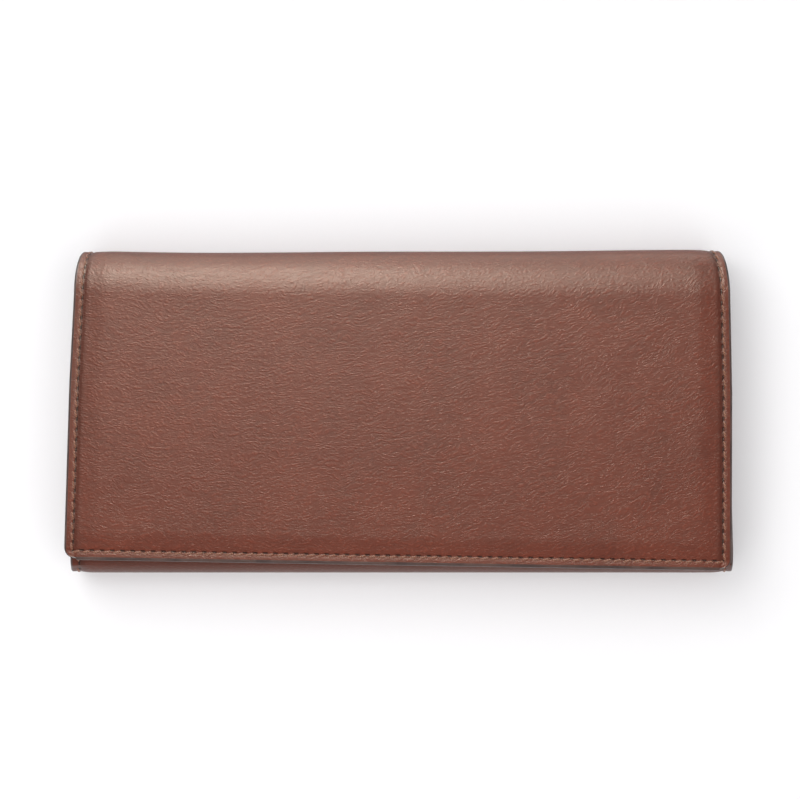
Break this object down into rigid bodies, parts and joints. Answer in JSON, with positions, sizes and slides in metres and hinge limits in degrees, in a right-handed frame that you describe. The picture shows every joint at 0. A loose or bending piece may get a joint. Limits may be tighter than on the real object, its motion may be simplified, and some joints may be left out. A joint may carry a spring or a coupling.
{
  "type": "long wallet",
  "caption": "Long leather wallet with a full front flap, hidden magnets, card pockets, two note compartments and a zipped coin pocket between them.",
  "frame": {"origin": "middle of the bounding box in X and Y, on the back face that the wallet lies on", "axes": "+X along the wallet, +Y from the bottom turn to the fold, +Z from the back face up through the layers to the flap"},
  "size_m": [0.1898, 0.092, 0.0244],
  "materials": {
    "outer_leather": "smooth fine-grained brown leather with a soft sheen",
    "lining_leather": "matt brown lining leather",
    "card_leather": "thin smooth brown leather",
    "gusset_leather": "thin soft brown leather",
    "board": "pressed fibre board",
    "thread": "waxed twisted thread a little lighter than the leather",
    "zip_tape": "woven brown tape",
    "brass": "polished antique brass",
    "steel": "plated steel"
  },
  "bodies": {
    "back": {"back_leather": "outer_leather", "back_thread": "thread", "back_board": "board", "back_lining": "lining_leather", "bottom_leather": "outer_leather", "bottom_thread": "thread", "bottom_lining": "lining_leather", "card_strip_1": "card_leather", "card_strip_2": "card_leather", "card_strip_3": "card_leather", "card_strip_4": "card_leather", "gusset_rear_left": "gusset_leather", "gusset_rear_right": "gusset_leather", "gusset_front_left": "gusset_leather", "gusset_front_right": "gusset_leather"},
    "coin_pocket": {"coin_wall_rear": "lining_leather", "coin_wall_front": "lining_leather", "coin_gusset": "gusset_leather", "zip_tape_rear": "zip_tape", "zip_tape_front": "zip_tape", "zip_teeth_rear": "brass", "zip_teeth_front": "brass", "zip_stops": "brass"},
    "zip_slider": {"zip_slider": "brass"},
    "zip_pull": {"zip_pull": "brass"},
    "front_panel": {"front_leather": "outer_leather", "front_thread": "thread", "front_board": "board", "front_keepers": "steel", "front_lining": "lining_leather"},
    "spine": {"spine_leather": "outer_leather", "spine_thread": "thread", "spine_lining": "lining_leather"},
    "flap": {"flap_leather": "outer_leather", "flap_thread": "thread", "flap_core": "board", "flap_magnets": "steel", "flap_lining": "lining_leather"}
  },
  "joints": [
    {"name": "flap_fold", "type": "hinge", "parent": "spine", "child": "flap", "pos_m": [0, 0.04395, 0.02235], "axis": [-1, 0, 0], "range_deg": [0, 90]},
    {"name": "spine_fold", "type": "hinge", "parent": "back", "child": "spine", "pos_m": [0, 0.04395, 0.00205], "axis": [-1, 0, 0], "range_deg": [0, 90]},
    {"name": "front_fan", "type": "hinge", "parent": "coin_pocket", "child": "front_panel", "pos_m": [0, -0.04366, 0.01926], "axis": [1, 0, 0], "range_deg": [0, 9], "deforming": ["gusset_front_left", "gusset_front_right"]},
    {"name": "pocket_fan", "type": "hinge", "parent": "back", "child": "coin_pocket", "pos_m": [0, -0.04366, 0.01926], "axis": [1, 0, 0], "range_deg": [0, 9], "deforming": ["gusset_rear_left", "gusset_rear_right", "gusset_front_left", "gusset_front_right"]},
    {"name": "zip_slide", "type": "slide", "parent": "coin_pocket", "child": "zip_slider", "axis": [-1, 0, 0], "range_m": [0, 0.146], "deforming": ["zip_teeth_rear", "zip_teeth_front"]},
    {"name": "pull_swing", "type": "hinge", "parent": "zip_slider", "child": "zip_pull", "pos_m": [0.072, 0.03115, 0.0116], "axis": [0, 0, -1], "range_deg": [0, 170]}
  ],
  "couplings": [
    {"joint": "spine_fold", "follows": "flap_fold", "ratio": 1},
    {"joint": "front_fan", "follows": "flap_fold", "ratio": 0.1},
    {"joint": "pocket_fan", "follows": "flap_fold", "ratio": 0.1}
  ]
}
